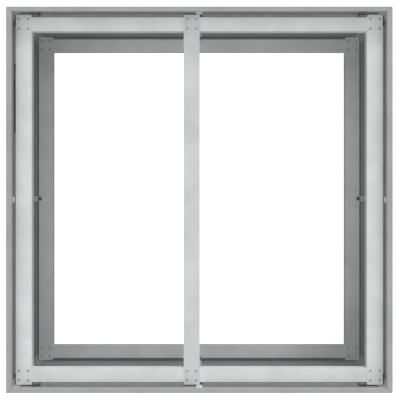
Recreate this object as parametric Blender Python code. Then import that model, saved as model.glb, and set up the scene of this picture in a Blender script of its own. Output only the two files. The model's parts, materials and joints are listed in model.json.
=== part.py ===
"""Square open-bottomed cold frame with a hinged, glazed sash.

Four walls of half panels stand in bottom rails between corner posts and carry mitred rim
caps. A riveted channel frame ties the foot together, and a second one, with two panes, is
the sash. It lies on two ledges inside the rim, swings on two butt hinges at the back, and
drags a slotted stay open with it. Metres, +Z up, front towards -Y, origin under the centre.
"""
import math

import bmesh
import bpy
from mathutils import Vector

# Overall
WIDTH = 1.000           # outside, left to right
DEPTH = 1.000           # outside, front to back
HEIGHT = 0.326          # ground to the top of the rim
GAP = 0.0003            # clearance between pieces that touch on the real object

# Walls
SIDE_THICK = 0.0145     # left and right walls, over the profiles
END_THICK = 0.0120      # front and back walls, over the profiles
SKIN = 0.0012           # wall of the rim, post and joiner profiles
RIM_DEPTH = 0.008       # height of the rim cap's legs
POST_LEG = 0.030        # reach of a corner post along each wall
POST_CORE = 0.001       # solid of the post behind each panel end
POST_CHAMFER = 0.003    # bevel on the post's inner corner
RAIL_HEIGHT = 0.012     # height of the bottom rail's legs
FOOT_THICK = 0.002      # floor of the bottom rail and its inward foot
FOOT_TUCK = 0.001       # how far the foot ends inside the base frame's inner edge
JOINER_WIDTH = 0.016    # mid-wall joiner, face width
JOINER_WEB = 0.002      # joiner web between the two half panels
JOINER_CROWN = 0.001    # swell of the joiner's inner face
CROWN_STEPS = 8
TAB_REACH = 0.0135      # joiner tab, from the wall out over the base frame
TAB_THICK = 0.0015

# Channel frames: bars run front to back and lap over the rails, which run left to right
BAR_WIDTH = 0.042
BAR_DEPTH = 0.024
BAR_SIDE_GAP = 0.003    # wall to the outer bars
BAR_END_GAP = 0.0015    # wall to the ends of the bars
RAIL_WIDTH = 0.037
METAL = 0.0015          # channel metal
SASH_DROP = 0.031       # rim top to the sash top
CENTRE_SHIFT = -0.020   # centre bar's middle, from the frame's centreline

# Rivets
RIVET_PITCH_X = 0.024
RIVET_PITCH_Y = 0.025
RIVET_RADIUS = 0.0016
RIVET_HEAD = 0.0031
RIVET_HEAD_HIGH = 0.0014
RIVET_HEAD_RIM = 0.0004  # straight edge under the head's dome
DOME_STEPS = 2
PLATE_X = 0.034
PLATE_Y = 0.032
PLATE_THICK = 0.0012
RIVET_SIDES = 10
THROUGH = 4 * METAL     # length of a cutter that passes two laps of metal

# Glazing
PANE_LAP = 0.013        # pane under the inner flanges
PANE_THICK = 0.004
SEAL_WIDTH = 0.010
SEAL_THICK = 0.0015
RETAINER_LAP = 0.0105   # retainer over the pane, from the pane's edge
RETAINER_PROUD = 0.0015  # retainer past the pane's edge
RETAINER_THICK = 0.002

# Ledges
LEDGE_WIDTH = 0.015
LEDGE_LEG = 0.018
LEDGE_THICK = 0.0015
LEDGE_SHORT = 0.030     # ledge end to the front and back walls

# Buffers between the front wall and the sash
BUFFER_LONG = 0.019
BUFFER_DROP = 0.012     # sash top to the buffer's foot
BUFFER_RISE = 0.004     # buffer's crest above the sash top
BUFFER_LIP = 0.0035     # thickness at the crest
BUFFER_CLEAR = 0.0010   # to the sash rail

# Hinges
HINGE_RADIUS = 0.0035   # knuckle, outside
HINGE_CLEAR = 0.0005    # knuckle to wall and to rail
HINGE_LEAF = 0.0012
HINGE_TALL = 0.018      # axis to the far edge of a leaf
HINGE_LENGTH = 0.019
HINGE_RISE = 0.004      # axis above the sash top
HINGE_KEEP = 0.0012     # outer bar to the hinge, room for the pin head
KNUCKLE_MID = 0.0065
PIN_RADIUS = 0.0015
PIN_RUN = 0.0001        # radial running clearance
PIN_HEAD = 0.0023
PIN_HEAD_THICK = 0.0007
ROUND_SIDES = 16

# Stay
STAY_ARM = 0.150        # hinge axis to stay pivot, and stay pivot to sliding pin
STAY_SLOPE = math.radians(4.0)
STAY_OPEN = math.radians(60.0)
STAY_WIDE = 0.010
STAY_THICK = 0.0017
STAY_PLATE_LONG = 0.036
STAY_PLATE_WIDE = 0.014
STUD_RADIUS = 0.0020
SLIDE_RADIUS = 0.0015
SLIDE_CLEAR = 0.0004
SLIDE_HEAD = 0.0030
SLIDE_HEAD_THICK = 0.0015

# Derived places
SIDE_FACE = WIDTH / 2 - SIDE_THICK
END_FACE = DEPTH / 2 - END_THICK
BAR_EDGE = SIDE_FACE - BAR_SIDE_GAP
BAR_MIDDLE = BAR_EDGE - BAR_WIDTH / 2
BAR_HALF = END_FACE - BAR_END_GAP
RAIL_EDGE = END_FACE - 2 * (HINGE_RADIUS + HINGE_CLEAR)
RAIL_MIDDLE = RAIL_EDGE - RAIL_WIDTH / 2
RAIL_INNER = RAIL_EDGE - RAIL_WIDTH
RAIL_HALF = BAR_EDGE - METAL - GAP
SASH_TOP = HEIGHT - SASH_DROP
BASE_TOP = FOOT_THICK + GAP + BAR_DEPTH
AXIS_Y = END_FACE - HINGE_RADIUS - HINGE_CLEAR
AXIS_Z = SASH_TOP + HINGE_RISE
HINGE_X = BAR_EDGE - BAR_WIDTH - HINGE_KEEP - HINGE_LENGTH / 2
BAR_CENTRES = {"left": -BAR_MIDDLE, "centre": CENTRE_SHIFT, "right": BAR_MIDDLE}

# Object rotations that lay a prism's length along X or Y, its outline's second axis up
ALONG_X = (math.pi / 2, 0.0, math.pi / 2)
ALONG_Y = (math.pi / 2, 0.0, 0.0)

# Finish: colour, metallic, roughness
FINISHES = {
    "bar": ((0.72, 0.73, 0.74, 1.0), 0.9, 0.38),
    "rim": ((0.40, 0.41, 0.42, 1.0), 0.6, 0.50),
    "panel": ((0.36, 0.37, 0.38, 1.0), 0.5, 0.45),
    "steel": ((0.50, 0.50, 0.50, 1.0), 1.0, 0.32),
    "rubber": ((0.03, 0.03, 0.03, 1.0), 0.0, 0.75),
    "glass": ((0.92, 0.97, 0.95, 1.0), 0.0, 0.03),
}


def clear_scene():
    """Remove every object of the scene this file is run in."""
    for item in list(bpy.data.objects):
        bpy.data.objects.remove(item, do_unlink=True)


def new_collection(name):
    """Return a new collection linked to the scene."""
    group = bpy.data.collections.new(name)
    bpy.context.scene.collection.children.link(group)
    return group


def finish_material(name, finish):
    """Return a Principled material named for its part."""
    colour, metallic, roughness = FINISHES[finish]
    material = bpy.data.materials.new(name)
    material.use_nodes = True
    shader = material.node_tree.nodes["Principled BSDF"]
    shader.inputs["Base Color"].default_value = colour
    shader.inputs["Metallic"].default_value = metallic
    shader.inputs["Roughness"].default_value = roughness
    if finish == "glass":
        shader.inputs["Transmission Weight"].default_value = 1.0
    return material


clear_scene()
PARTS = new_collection("cold_frame")
TOOLS = new_collection("cutters")


# Meshes

def weld(mesh):
    """Merge a mesh's doubled points and turn its faces outwards."""
    work = bmesh.new()
    work.from_mesh(mesh)
    bmesh.ops.remove_doubles(work, verts=work.verts, dist=1e-6)
    bmesh.ops.recalc_face_normals(work, faces=work.faces)
    work.to_mesh(mesh)
    work.free()
    return mesh


def prism(name, outlines, length):
    """Make flat outlines a solid of the given length, centred on its own Z axis."""
    curve = bpy.data.curves.new(name, "CURVE")
    curve.dimensions = "2D"
    curve.fill_mode = "BOTH"
    curve.extrude = length / 2
    for outline in outlines:
        spline = curve.splines.new("POLY")
        spline.points.add(len(outline) - 1)
        for point, (across, up) in zip(spline.points, outline):
            point.co = (across, up, 0.0, 1.0)
        spline.use_cyclic_u = True
    holder = bpy.data.objects.new(name + "_outline", curve)
    bpy.context.scene.collection.objects.link(holder)
    graph = bpy.context.evaluated_depsgraph_get()
    mesh = bpy.data.meshes.new_from_object(holder.evaluated_get(graph))
    bpy.data.objects.remove(holder)
    bpy.data.curves.remove(curve)
    mesh.name = name
    return weld(mesh)


def box(name, size):
    """Return a box mesh centred on its origin."""
    work = bmesh.new()
    bmesh.ops.create_cube(work, size=1.0)
    bmesh.ops.scale(work, verts=work.verts, vec=size)
    mesh = bpy.data.meshes.new(name)
    work.to_mesh(mesh)
    work.free()
    return mesh


def turned(name, profile, sides, centres=((0.0, 0.0),)):
    """Turn a profile of (radius, height) about Z, once at each centre."""
    work = bmesh.new()
    for x, y in centres:
        points = [work.verts.new((x + radius, y, height)) for radius, height in profile]
        edges = [work.edges.new(pair) for pair in zip(points, points[1:])]
        bmesh.ops.spin(work, geom=points + edges, cent=(x, y, 0.0), axis=(0.0, 0.0, 1.0),
                       angle=2 * math.pi, steps=sides, use_duplicate=False)
    mesh = bpy.data.meshes.new(name)
    work.to_mesh(mesh)
    work.free()
    return weld(mesh)


def rod(name, radius, length, sides, centres=((0.0, 0.0),)):
    """Return upright cylinders centred on their middles."""
    half = length / 2
    return turned(name, [(0.0, half), (radius, half), (radius, -half), (0.0, -half)], sides, centres)


def arc(centre, radius, start, end, steps):
    """Return points on an arc from one angle to another, both ends included."""
    angles = [start + (end - start) * step / steps for step in range(steps + 1)]
    return [(centre[0] + radius * math.cos(angle), centre[1] + radius * math.sin(angle)) for angle in angles]


def rectangle(low_x, low_y, high_x, high_y):
    """Return a rectangle's corners."""
    return [(low_x, low_y), (high_x, low_y), (high_x, high_y), (low_x, high_y)]


def slot_outline(start, end, radius):
    """Return a round-ended slot between two points."""
    along = math.atan2(end[1] - start[1], end[0] - start[0])
    quarter = math.pi / 2
    return (arc(start, radius, along + quarter, along + 3 * quarter, ROUND_SIDES // 2)
            + arc(end, radius, along - quarter, along + quarter, ROUND_SIDES // 2))


def channel_outline(width, depth, top):
    """Return a channel section with its web up and its middle on the first axis."""
    half = width / 2
    low = top - depth
    return [(-half, low), (METAL - half, low), (METAL - half, top - METAL), (half - METAL, top - METAL),
            (half - METAL, low), (half, low), (half, top), (-half, top)]


# Objects

def empty(name, location=(0.0, 0.0, 0.0), turn=0.0):
    """Return an empty that pieces are placed from."""
    item = bpy.data.objects.new(name, None)
    item.location = location
    item.rotation_euler = (0.0, 0.0, turn)
    PARTS.objects.link(item)
    return item


def piece(name, mesh, finish, location=(0.0, 0.0, 0.0), rotation=(0.0, 0.0, 0.0), parent=None):
    """Place one named sub-part, with its own material."""
    item = bpy.data.objects.new(name, mesh)
    item.location = location
    item.rotation_euler = rotation
    item.parent = parent
    mesh.materials.append(finish_material(name, finish))
    PARTS.objects.link(item)
    return item


def tool(name, mesh, location, rotation=(0.0, 0.0, 0.0), parent=None):
    """Place a hidden solid that cuts or joins other pieces."""
    item = bpy.data.objects.new(name, mesh)
    item.location = location
    item.rotation_euler = rotation
    item.parent = parent
    item.hide_render = True
    item.display_type = "WIRE"
    TOOLS.objects.link(item)
    return item


def combine(target, other, operation, solver="EXACT"):
    """Cut another solid from a piece, or join it to the piece."""
    modifier = target.modifiers.new(other.name, "BOOLEAN")
    modifier.operation = operation
    modifier.solver = solver
    modifier.object = other


def smooth(item):
    """Shade a round piece smooth, with its edges kept sharp."""
    item.data.shade_smooth()
    item.data.set_sharp_from_angle(angle=math.radians(35.0))


# Walls

def wall_table():
    """Return each wall's turn, length, outer offset, thickness and its neighbours' thickness."""
    return {
        "front": (0.0, WIDTH, DEPTH / 2, END_THICK, SIDE_THICK),
        "right": (math.pi / 2, DEPTH, WIDTH / 2, SIDE_THICK, END_THICK),
        "back": (math.pi, WIDTH, DEPTH / 2, END_THICK, SIDE_THICK),
        "left": (-math.pi / 2, DEPTH, WIDTH / 2, SIDE_THICK, END_THICK),
    }


def end_by_height(mesh, reach):
    """Move each end point of a prism to the half length that its outline's first axis gives."""
    for vertex in mesh.vertices:
        vertex.co.z = math.copysign(reach(vertex.co.x), vertex.co.z)


def rim_cap(side, length, offset, thick, neighbour, parent):
    """Add one wall's rim cap: a channel over the panels, mitred at both ends."""
    outer = -offset
    inner = outer + thick
    low = HEIGHT - RIM_DEPTH
    outline = [(outer, low), (outer + SKIN, low), (outer + SKIN, HEIGHT - SKIN),
               (inner - SKIN, HEIGHT - SKIN), (inner - SKIN, low), (inner, low),
               (inner, HEIGHT), (outer, HEIGHT)]
    mesh = prism(side + "_rim_cap", [outline], length)
    end_by_height(mesh, lambda y: length / 2 - GAP - (y - outer) * neighbour / thick)
    piece(side + "_rim_cap", mesh, "rim", rotation=ALONG_X, parent=parent)


def bottom_rail(side, length, offset, thick, neighbour, foot, side_foot, parent):
    """Add one wall's bottom rail: a channel for the panels, with a foot cut back to its neighbours' feet."""
    outer = -offset
    inner = outer + thick
    outline = [(outer, 0.0), (inner + foot, 0.0), (inner + foot, FOOT_THICK), (inner, FOOT_THICK),
               (inner, RAIL_HEIGHT), (inner - SKIN, RAIL_HEIGHT), (inner - SKIN, FOOT_THICK),
               (outer + SKIN, FOOT_THICK), (outer + SKIN, RAIL_HEIGHT), (outer, RAIL_HEIGHT)]
    straight = length / 2 - POST_LEG - GAP
    tip = length / 2 - neighbour - side_foot - GAP
    mesh = prism(side + "_bottom_rail", [outline], length)
    end_by_height(mesh, lambda y: tip if y > inner + foot / 2 else straight)
    piece(side + "_bottom_rail", mesh, "rim", rotation=ALONG_X, parent=parent)


def wall_panels(side, length, offset, thick, neighbour, parent):
    """Add one wall's two half panels."""
    start = JOINER_WEB / 2 + GAP
    end = length / 2 - neighbour - POST_CORE - GAP
    low = FOOT_THICK + GAP
    high = HEIGHT - SKIN - GAP
    size = (end - start, thick - 2 * (SKIN + GAP), high - low)
    for half, sign in (("left", -1), ("right", 1)):
        name = f"{side}_panel_{half}"
        place = (sign * (start + end) / 2, thick / 2 - offset, (low + high) / 2)
        piece(name, box(name, size), "panel", place, parent=parent)


def mid_joiner(side, offset, thick, parent):
    """Add the H-shaped joiner of two half panels, with its tab over the base frame."""
    outer = -offset
    inner = outer + thick
    half = JOINER_WIDTH / 2
    web = JOINER_WEB / 2
    spread = [1 - 2 * step / CROWN_STEPS for step in range(CROWN_STEPS + 1)]
    crown = [(half * share, inner + JOINER_CROWN * (1 - share ** 2)) for share in spread]
    outline = [(-half, outer), (half, outer), (half, outer + SKIN), (web, outer + SKIN),
               (web, inner - SKIN), (half, inner - SKIN)] + crown + [
               (-half, inner - SKIN), (-web, inner - SKIN), (-web, outer + SKIN), (-half, outer + SKIN)]
    low = RAIL_HEIGHT + GAP
    high = HEIGHT - RIM_DEPTH - GAP
    name = side + "_joiner"
    joiner_mesh = prism(name, [outline], high - low)
    joiner = piece(name, joiner_mesh, "bar", (0.0, 0.0, (low + high) / 2), parent=parent)
    smooth(joiner)
    root = SKIN / 2
    tab_size = (JOINER_WIDTH - 2 * SKIN, TAB_REACH + root, TAB_THICK)
    tab_place = (0.0, inner + (TAB_REACH - root) / 2, BASE_TOP + GAP + TAB_THICK / 2)
    tab = tool(name + "_tab", box(name + "_tab", tab_size), tab_place, parent=parent)
    combine(joiner, tab, "UNION", "MANIFOLD")


def corner_post(name, sign_x, sign_y):
    """Add a corner post with a slot for each wall's panel and a spigot inside the rim caps."""
    def place(points):
        return [(sign_x * (WIDTH / 2 - u), sign_y * (DEPTH / 2 - v)) for u, v in points]

    core_u = SIDE_THICK + POST_CORE
    core_v = END_THICK + POST_CORE
    outline = [(0.0, 0.0), (POST_LEG, 0.0), (POST_LEG, SKIN), (core_u, SKIN),
               (core_u, END_THICK - SKIN), (POST_LEG, END_THICK - SKIN), (POST_LEG, END_THICK),
               (SIDE_THICK + POST_CHAMFER, END_THICK), (SIDE_THICK, END_THICK + POST_CHAMFER),
               (SIDE_THICK, POST_LEG), (SIDE_THICK - SKIN, POST_LEG), (SIDE_THICK - SKIN, core_v),
               (SKIN, core_v), (SKIN, POST_LEG), (0.0, POST_LEG)]
    high = HEIGHT - RIM_DEPTH - GAP
    post = piece(name, prism(name, [place(outline)], high), "rim", (0.0, 0.0, high / 2))
    keep = SKIN + GAP
    top = HEIGHT - SKIN - GAP
    spigot_low = high - RIM_DEPTH
    spigot_mesh = prism(name + "_spigot", [place(rectangle(keep, keep, SIDE_THICK - keep, END_THICK - keep))],
                        top - spigot_low)
    combine(post, tool(name + "_spigot", spigot_mesh, (0.0, 0.0, (top + spigot_low) / 2)), "UNION")


def build_walls():
    """Add the four walls and the four posts."""
    end_foot = END_FACE - RAIL_INNER - FOOT_TUCK
    side_foot = BAR_SIDE_GAP + BAR_WIDTH - FOOT_TUCK
    for side, (turn, length, offset, thick, neighbour) in wall_table().items():
        parent = empty(side + "_wall", turn=turn)
        rim_cap(side, length, offset, thick, neighbour, parent)
        wall_panels(side, length, offset, thick, neighbour, parent)
        mid_joiner(side, offset, thick, parent)
        feet = (end_foot, side_foot) if side in ("front", "back") else (side_foot, end_foot)
        bottom_rail(side, length, offset, thick, neighbour, *feet, parent)
    for name, sign_x, sign_y in (("post_front_left", -1, -1), ("post_front_right", 1, -1),
                                 ("post_back_left", -1, 1), ("post_back_right", 1, 1)):
        corner_post(name, sign_x, sign_y)


# Channel frames

def rivet_grid(x, y):
    """Return the four rivet centres of a lap joint."""
    return [(x + sx * RIVET_PITCH_X / 2, y + sy * RIVET_PITCH_Y / 2) for sx in (-1, 1) for sy in (-1, 1)]


def rivet_set(name, x, y, top, origin, parent):
    """Add the four rivets of a lap joint, on the backing plate they are set through."""
    head_low = GAP
    plate_top = -2 * (METAL + GAP)
    shank_end = plate_top - PLATE_THICK / 2
    angles = [math.pi / 2 * step / DOME_STEPS for step in range(DOME_STEPS + 1)]
    rise = RIVET_HEAD_HIGH - RIVET_HEAD_RIM
    rim = head_low + RIVET_HEAD_RIM
    dome = [(RIVET_HEAD * math.sin(angle), rim + rise * math.cos(angle)) for angle in angles]
    profile = dome + [(RIVET_HEAD, head_low), (RIVET_RADIUS, head_low), (RIVET_RADIUS, shank_end),
                      (0.0, shank_end)]
    offset = Vector((x, y, top)) - origin
    plate = piece(name, box(name, (PLATE_X, PLATE_Y, PLATE_THICK)), "steel",
                  offset + Vector((0.0, 0.0, plate_top - PLATE_THICK / 2)), parent=parent)
    shanks = turned(name + "_shanks", profile, RIVET_SIDES, rivet_grid(0.0, 0.0))
    combine(plate, tool(name + "_shanks", shanks, offset, parent=parent), "UNION")
    smooth(plate)


def channel_frame(prefix, top, bars, origin, parent):
    """Add a riveted frame: bars front to back, lapped over two rails, and their rivets."""
    low = top - BAR_DEPTH
    rail_top = top - METAL - GAP
    rails = {}
    for side, sign in (("front", -1), ("back", 1)):
        name = f"{prefix}_rail_{side}"
        outline = channel_outline(RAIL_WIDTH, rail_top - low, 0.0)
        rails[side] = piece(name, prism(name, [outline], 2 * RAIL_HALF), "bar",
                            Vector((0.0, sign * RAIL_MIDDLE, rail_top)) - origin, ALONG_X, parent)
    made = {}
    for bar_name in bars:
        x = BAR_CENTRES[bar_name]
        name = f"{prefix}_bar_{bar_name}"
        bar = piece(name, prism(name, [channel_outline(BAR_WIDTH, BAR_DEPTH, 0.0)], 2 * BAR_HALF), "bar",
                    Vector((x, 0.0, top)) - origin, ALONG_Y, parent)
        made[bar_name] = bar
        for side, sign in (("front", -1), ("back", 1)):
            notch_bar(bar, bar_name, x, sign, top, origin, parent)
            joint = f"{prefix}_rivets_{side}_{bar_name}"
            centres = rivet_grid(0.0, 0.0)
            drill_mesh = rod(joint + "_drill", RIVET_RADIUS + GAP, THROUGH, RIVET_SIDES, centres)
            drill = tool(joint + "_drill", drill_mesh,
                         Vector((x, sign * RAIL_MIDDLE, top - METAL - GAP / 2)) - origin, parent=parent)
            combine(bar, drill, "DIFFERENCE")
            combine(rails[side], drill, "DIFFERENCE")
            rivet_set(joint, x, sign * RAIL_MIDDLE, top, origin, parent)
    return made


def notch_bar(bar, bar_name, x, sign, top, origin, parent):
    """Cut a bar's inner flanges away at one end, where a rail passes under its web."""
    start = RAIL_INNER - GAP
    end = BAR_HALF + METAL
    width = BAR_WIDTH - METAL + GAP
    shift = {"left": METAL, "centre": 0.0, "right": -METAL}[bar_name]
    if bar_name == "centre":
        width = BAR_WIDTH + 2 * METAL
    deep = BAR_DEPTH
    size = (width, end - start, deep)
    middle = Vector((x + shift, sign * (start + end) / 2, top - METAL - GAP / 2 - deep / 2)) - origin
    name = f"{bar.name}_notch_{'back' if sign > 0 else 'front'}"
    combine(bar, tool(name, box(name, size), middle, parent=parent), "DIFFERENCE")


# Glazing

def inset(outline, edge):
    """Return a rectangle's low and high corners moved inwards by an edge's width."""
    low_x, low_y, high_x, high_y = outline
    return low_x + edge, low_y + edge, high_x - edge, high_y - edge


def glazing(origin, parent):
    """Add each bay's seal and pane under the channel flanges, and the retainer under both panes."""
    half = BAR_WIDTH / 2
    bays = {"left": (half - BAR_MIDDLE, CENTRE_SHIFT - half),
            "right": (CENTRE_SHIFT + half, BAR_MIDDLE - half)}
    seal_top = SASH_TOP - BAR_DEPTH - GAP
    pane_top = seal_top - SEAL_THICK - GAP
    retainer_top = pane_top - PANE_THICK - GAP
    windows = []
    for bay, (low_x, high_x) in bays.items():
        outer = (low_x - PANE_LAP, -RAIL_INNER - PANE_LAP, high_x + PANE_LAP, RAIL_INNER + PANE_LAP)
        windows.append(rectangle(*inset(outer, RETAINER_LAP)))
        seal = "pane_seal_" + bay
        seal_place = Vector((0.0, 0.0, seal_top - SEAL_THICK / 2)) - origin
        seal_mesh = prism(seal, [rectangle(*outer), rectangle(*inset(outer, SEAL_WIDTH))], SEAL_THICK)
        piece(seal, seal_mesh, "rubber", seal_place, parent=parent)
        pane = "pane_" + bay
        size = (outer[2] - outer[0], outer[3] - outer[1], PANE_THICK)
        middle = ((outer[0] + outer[2]) / 2, 0.0, pane_top - PANE_THICK / 2)
        piece(pane, box(pane, size), "glass", Vector(middle) - origin, parent=parent)
    reach_x = BAR_MIDDLE - half + PANE_LAP + RETAINER_PROUD
    reach_y = RAIL_INNER + PANE_LAP + RETAINER_PROUD
    retainer_mesh = prism("glazing_retainer", [rectangle(-reach_x, -reach_y, reach_x, reach_y), *windows],
                          RETAINER_THICK)
    retainer_place = Vector((0.0, 0.0, retainer_top - RETAINER_THICK / 2)) - origin
    piece("glazing_retainer", retainer_mesh, "bar", retainer_place, parent=parent)


# Ledges

def ledges():
    """Add the two angle ledges that the sash's outer bars lie on."""
    top = SASH_TOP - BAR_DEPTH - GAP
    outer = SIDE_FACE - JOINER_CROWN - GAP
    for side, sign in (("left", -1), ("right", 1)):
        edge = sign * (outer - LEDGE_WIDTH)
        bend = sign * (outer - LEDGE_THICK)
        outline = [(edge, top), (edge, top - LEDGE_THICK), (bend, top - LEDGE_THICK), (bend, top - LEDGE_LEG),
                   (sign * outer, top - LEDGE_LEG), (sign * outer, top)]
        name = "sash_ledge_" + side
        piece(name, prism(name, [outline], 2 * (END_FACE - LEDGE_SHORT)), "rim", rotation=ALONG_Y)


# Buffers

def buffers():
    """Add the two rubber buffers on the front wall that the sash closes against."""
    wall = GAP - END_FACE
    rail = -RAIL_EDGE - BUFFER_CLEAR
    low = SASH_TOP - BUFFER_DROP
    high = SASH_TOP + BUFFER_RISE
    outline = [(wall, low), (rail, low), (rail, SASH_TOP - METAL), (wall + BUFFER_LIP, high), (wall, high)]
    for side, sign in (("left", -1), ("right", 1)):
        name = "front_buffer_" + side
        piece(name, prism(name, [outline], BUFFER_LONG), "rubber", (sign * HINGE_X, 0.0, 0.0), ALONG_X)


# Hinges

def leaf_outline(sign):
    """Return a knuckle with its leaf, on the wall side (1) or on the sash side (-1)."""
    neck = math.acos((HINGE_RADIUS - HINGE_LEAF) / HINGE_RADIUS)
    curve = arc((0.0, 0.0), HINGE_RADIUS, neck, 2 * math.pi, ROUND_SIDES)
    points = [(HINGE_RADIUS, HINGE_TALL), (HINGE_RADIUS - HINGE_LEAF, HINGE_TALL)] + curve
    return [(sign * across, sign * up) for across, up in points]


def hinge_leaf(name, x, sign, cut_spans, parent):
    """Add one hinge leaf: a rolled knuckle, open where the other leaf's knuckles sit."""
    leaf_mesh = prism(name, [leaf_outline(sign)], HINGE_LENGTH)
    leaf = piece(name, leaf_mesh, "steel", (x, 0.0, 0.0), ALONG_X, parent)
    smooth(leaf)
    clear = HINGE_RADIUS + HINGE_CLEAR
    for index, (low, high) in enumerate(cut_spans):
        cutter = f"{name}_gap_{index}"
        size = (high - low, 4 * HINGE_RADIUS, 2 * clear + METAL)
        middle = (x + (low + high) / 2, 0.0, -sign * METAL / 2)
        combine(leaf, tool(cutter, box(cutter, size), middle, parent=parent), "DIFFERENCE")
    bore = rod(name + "_bore", PIN_RADIUS + PIN_RUN, 2 * HINGE_LENGTH, ROUND_SIDES)
    combine(leaf, tool(name + "_bore", bore, (x, 0.0, 0.0), ALONG_X, parent), "DIFFERENCE")


def hinges(axis_fixed, axis_moving):
    """Add the two butt hinges, each with a fixed leaf, a moving leaf and a headed pin."""
    half = HINGE_LENGTH / 2
    mid = KNUCKLE_MID / 2
    for side, sign in (("left", -1), ("right", 1)):
        x = sign * HINGE_X
        hinge_leaf(f"hinge_{side}_fixed_leaf", x, 1, [(-mid - GAP, mid + GAP)], axis_fixed)
        spans = [(-half - METAL, -mid), (mid, half + METAL)]
        hinge_leaf(f"hinge_{side}_moving_leaf", x, -1, spans, axis_moving)
        end = half + GAP
        profile = [(0.0, end + PIN_HEAD_THICK), (PIN_HEAD, end + PIN_HEAD_THICK), (PIN_HEAD, end),
                   (PIN_RADIUS, end), (PIN_RADIUS, -end), (PIN_HEAD, -end),
                   (PIN_HEAD, -end - PIN_HEAD_THICK), (0.0, -end - PIN_HEAD_THICK)]
        name = f"hinge_{side}_pin"
        pin = piece(name, turned(name, profile, ROUND_SIDES), "steel", (x, 0.0, 0.0), ALONG_X, axis_fixed)
        smooth(pin)


# Stay

def stay(left_bar, sash_origin, sash):
    """Add the stay arm and its wall pivot, and cut its slot in the left bar's outer flange.

    The pivot is as far from the hinge axis as the arm is long, and the slot's line passes
    through that axis, so the arm always turns twice as far as the sash.
    """
    slope = Vector((0.0, -math.cos(STAY_SLOPE), -math.sin(STAY_SLOPE)))
    pivot = Vector((0.0, AXIS_Y, AXIS_Z)) + slope * STAY_ARM
    middle_x = -(SIDE_FACE + BAR_EDGE) / 2
    pivot.x = middle_x
    centre = empty("stay_axis", pivot)
    far = (slope.y * STAY_ARM, slope.z * STAY_ARM)
    hole = arc((0.0, 0.0), STUD_RADIUS + PIN_RUN, 0.0, 2 * math.pi, ROUND_SIDES)[:-1]
    outline = slot_outline((0.0, 0.0), far, STAY_WIDE / 2)
    arm_mesh = prism("stay_arm", [outline, hole], STAY_THICK)
    arm = piece("stay_arm", arm_mesh, "steel", (0.0, 0.0, 0.0), ALONG_X, centre)
    smooth(arm)
    head_low = (SIDE_FACE - BAR_EDGE) / 2 + METAL + 2 * GAP
    head_high = head_low + SLIDE_HEAD_THICK
    profile = [(0.0, head_high), (SLIDE_HEAD, head_high), (SLIDE_HEAD, head_low),
               (SLIDE_RADIUS, head_low), (SLIDE_RADIUS, 0.0), (0.0, 0.0)]
    slide_mesh = turned("stay_slide_pin", profile, ROUND_SIDES)
    combine(arm, tool("stay_slide_pin", slide_mesh, (0.0, *far), ALONG_X, centre), "UNION")

    start = slope * (2 * STAY_ARM)
    end = slope * (2 * STAY_ARM * math.cos(STAY_OPEN))
    cutter_mesh = prism("stay_slot", [slot_outline((start.y, start.z), (end.y, end.z),
                                                   SLIDE_RADIUS + SLIDE_CLEAR)], THROUGH)
    slot_place = Vector((-BAR_EDGE, AXIS_Y, AXIS_Z)) - sash_origin
    combine(left_bar, tool("stay_slot", cutter_mesh, slot_place, ALONG_X, sash), "DIFFERENCE")

    recess = SKIN + GAP
    plate_thick = recess + (SIDE_FACE - BAR_EDGE - STAY_THICK) / 2 - 2 * GAP
    plate_x = -SIDE_FACE - recess + GAP + plate_thick / 2
    plate = piece("stay_pivot", box("stay_pivot", (plate_thick, STAY_PLATE_LONG, STAY_PLATE_WIDE)), "steel",
                  (plate_x, pivot.y, pivot.z))
    stud_long = plate_thick / 2 + GAP + STAY_THICK
    stud = rod("stay_stud", STUD_RADIUS, stud_long, ROUND_SIDES)
    combine(plate, tool("stay_stud", stud, (plate_x + stud_long / 2, pivot.y, pivot.z), ALONG_X), "UNION")


def build():
    """Build the whole cold frame."""
    build_walls()
    ledges()
    buffers()
    channel_frame("base", BASE_TOP, ("left", "right"), Vector((0.0, 0.0, 0.0)), None)
    axis = Vector((0.0, AXIS_Y, AXIS_Z))
    hinge_axis = empty("hinge_axis", axis)
    sash = empty("sash_axis", axis)
    bars = channel_frame("sash", SASH_TOP, ("left", "centre", "right"), axis, sash)
    glazing(axis, sash)
    hinges(hinge_axis, sash)
    stay(bars["left"], axis, sash)


build()
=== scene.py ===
"""Looks of the cold frame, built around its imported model.

Every profile gets eased edges and a drawn-aluminium finish, the rivets and screws are laid
out by a node tree, and the panes are clear glass in black seals. The scene is a white floor
under an even sky, with a soft sun from behind and a weaker one from the front, seen straight
down through the sash.
"""
import json
import logging
import math
from dataclasses import dataclass, field
from enum import Enum

import bmesh
import bpy
from mathutils import Euler, Matrix, Vector

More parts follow.
